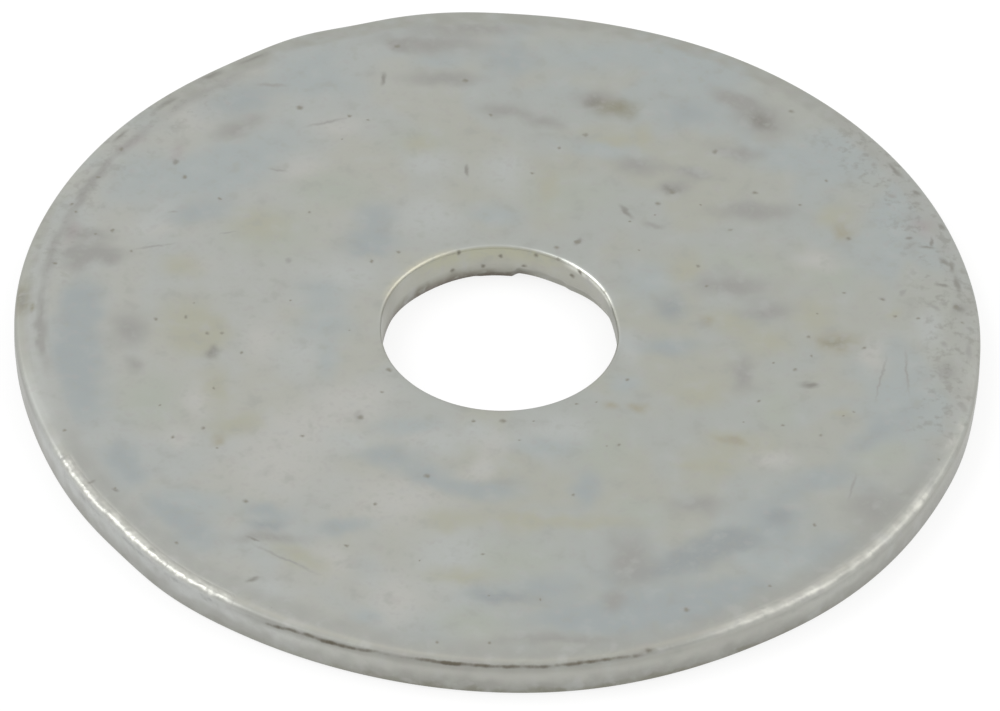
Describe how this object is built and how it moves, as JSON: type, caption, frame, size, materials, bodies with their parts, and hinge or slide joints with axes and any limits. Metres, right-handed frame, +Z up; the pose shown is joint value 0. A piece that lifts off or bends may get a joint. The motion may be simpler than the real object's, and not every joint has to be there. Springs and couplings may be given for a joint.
{
  "type": "fender washer",
  "caption": "Wide, thin round steel washer with a small clearance bore, sheared edges and a zinc plated finish, for spreading a bolt's load over a thin or soft sheet.",
  "frame": {"origin": "centre of the bore, on the bottom face that the washer lies on", "axes": "+Z up along the bore axis, out of the face whose rim is rolled; the tongue at the torn foot of the bore lies towards +Y"},
  "size_m": [0.035, 0.035, 0.0015],
  "materials": {
    "zinc_plate": "satin"
  },
  "bodies": {
    "root": {"washer": "zinc_plate"}
  },
  "joints": []
}
